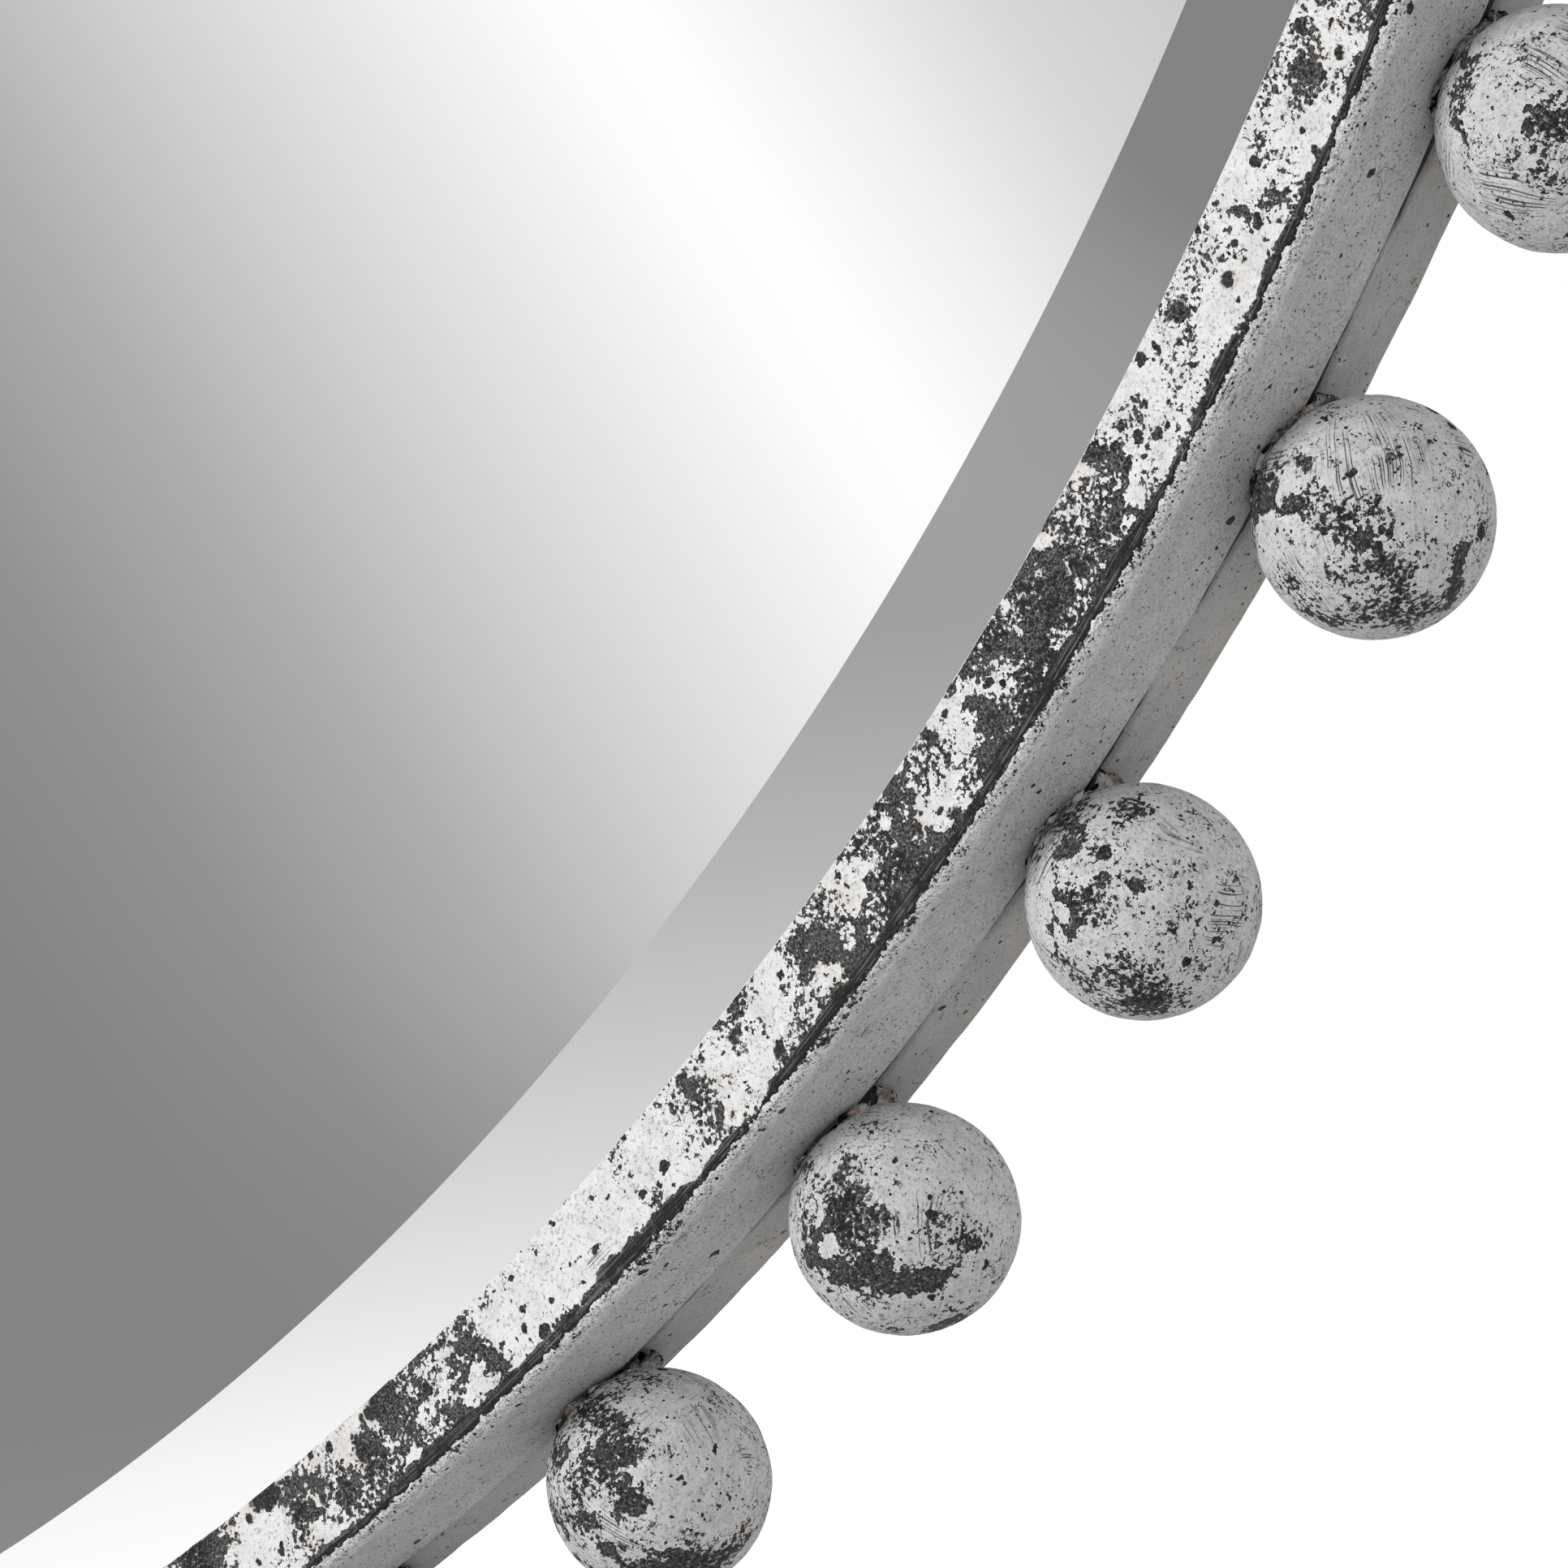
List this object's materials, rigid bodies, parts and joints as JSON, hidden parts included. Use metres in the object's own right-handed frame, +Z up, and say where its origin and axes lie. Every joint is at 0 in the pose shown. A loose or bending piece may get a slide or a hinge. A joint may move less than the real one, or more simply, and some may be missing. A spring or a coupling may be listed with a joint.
{
  "type": "round wall mirror",
  "caption": "Round wall mirror: bevelled glass in a distressed white iron ring, a rear hoop with iron balls welded round it, and a clipped backing board with two swinging ring hangers.",
  "frame": {"origin": "the point on the wall behind the centre of the mirror", "axes": "+Y back into the wall, so the mirror faces -Y; +Z up; +X to the right as seen from the front"},
  "size_m": [0.9129, 0.031, 0.9128],
  "materials": {
    "chalky_white_iron": "chalky white paint worn through to dark iron in patches, pits and along the corner",
    "chalky_grey_iron": "matt light grey paint with fine dark specks and faint rust stains",
    "chalky_ball_iron": "matt light grey paint with dark pits, worn patches and brush scratches",
    "silvered_glass": "polished silvered float glass with a ground bevel",
    "grey_foam": "soft closed-cell foam",
    "black_board": "fibreboard with a matt black coat",
    "zinc_steel": "zinc-plated steel, dull",
    "screw_steel": "zinc-plated steel, bright",
    "nickel_steel": "nickel-plated steel, satin",
    "black_rubber": "matt black moulded rubber"
  },
  "bodies": {
    "mirror": {"front_ring": "chalky_white_iron", "rear_hoop": "chalky_grey_iron", "balls_12_to_1": "chalky_ball_iron", "balls_1_to_2": "chalky_ball_iron", "balls_2_to_3": "chalky_ball_iron", "balls_3_to_4": "chalky_ball_iron", "balls_4_to_5": "chalky_ball_iron", "balls_5_to_6": "chalky_ball_iron", "balls_6_to_7": "chalky_ball_iron", "balls_7_to_8": "chalky_ball_iron", "balls_8_to_9": "chalky_ball_iron", "balls_9_to_10": "chalky_ball_iron", "balls_10_to_11": "chalky_ball_iron", "balls_11_to_12": "chalky_ball_iron", "mirror_glass": "silvered_glass", "foam_sheet": "grey_foam", "backing_board": "black_board", "retaining_clips": "zinc_steel", "clip_screws": "screw_steel", "left_hanger_strap": "nickel_steel", "right_hanger_strap": "nickel_steel", "hanger_screws": "screw_steel", "bumper_upper_right": "black_rubber", "bumper_upper_left": "black_rubber", "bumper_lower_left": "black_rubber", "bumper_lower_right": "black_rubber", "bumper_washers": "zinc_steel", "bumper_screws": "screw_steel"},
    "left_ring": {"left_hanger_ring": "nickel_steel"},
    "right_ring": {"right_hanger_ring": "nickel_steel"}
  },
  "joints": [
    {"name": "left_ring_swing", "type": "hinge", "parent": "mirror", "child": "left_ring", "pos_m": [-0.23, -0.01113, 0.17], "axis": [1, 0, 0], "range_deg": [0, 180]},
    {"name": "right_ring_swing", "type": "hinge", "parent": "mirror", "child": "right_ring", "pos_m": [0.23, -0.01113, 0.17], "axis": [1, 0, 0], "range_deg": [0, 180]}
  ]
}
